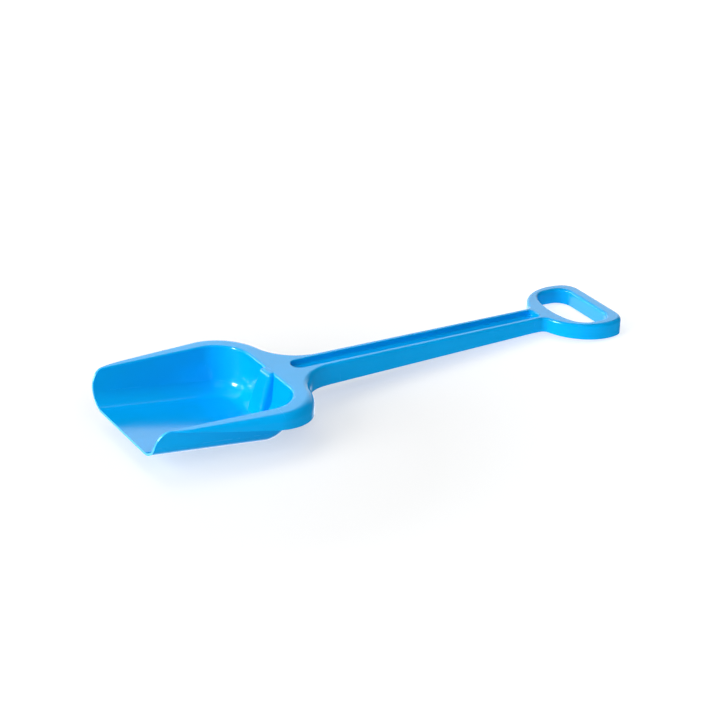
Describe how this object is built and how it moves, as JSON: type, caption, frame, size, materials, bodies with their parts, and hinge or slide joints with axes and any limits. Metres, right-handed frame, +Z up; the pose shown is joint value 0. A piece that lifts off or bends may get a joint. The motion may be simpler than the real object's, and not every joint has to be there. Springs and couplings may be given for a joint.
{
  "type": "children's snow shovel",
  "caption": "One-hand plastic scoop shovel for snow or sand: flared scoop with a rolled rim, grooved handle and D-shaped grip.",
  "frame": {"origin": "on the ground under the middle of the shovel's bounding box, as it rests on the scoop's heel and the grip's end", "axes": "+X along the handle from the scoop's lip to the grip, +Y to the left when facing along +X, +Z up"},
  "size_m": [0.4966, 0.1618, 0.0497],
  "materials": {
    "moulded_plastic": "glossy moulded polypropylene, bright blue"
  },
  "bodies": {
    "root": {"scoop_floor": "moulded_plastic", "scoop_wall_left": "moulded_plastic", "scoop_wall_right": "moulded_plastic", "scoop_back_wall": "moulded_plastic", "throat_boss": "moulded_plastic", "rim_left": "moulded_plastic", "rim_right": "moulded_plastic", "neck_plate": "moulded_plastic", "handle_trough": "moulded_plastic", "handle_side_left": "moulded_plastic", "handle_side_right": "moulded_plastic", "grip_crown": "moulded_plastic", "grip_side_left": "moulded_plastic", "grip_side_right": "moulded_plastic", "grip_bar": "moulded_plastic", "neck_ribs": "moulded_plastic", "handle_ribs": "moulded_plastic", "grip_bar_ribs": "moulded_plastic"}
  },
  "joints": []
}
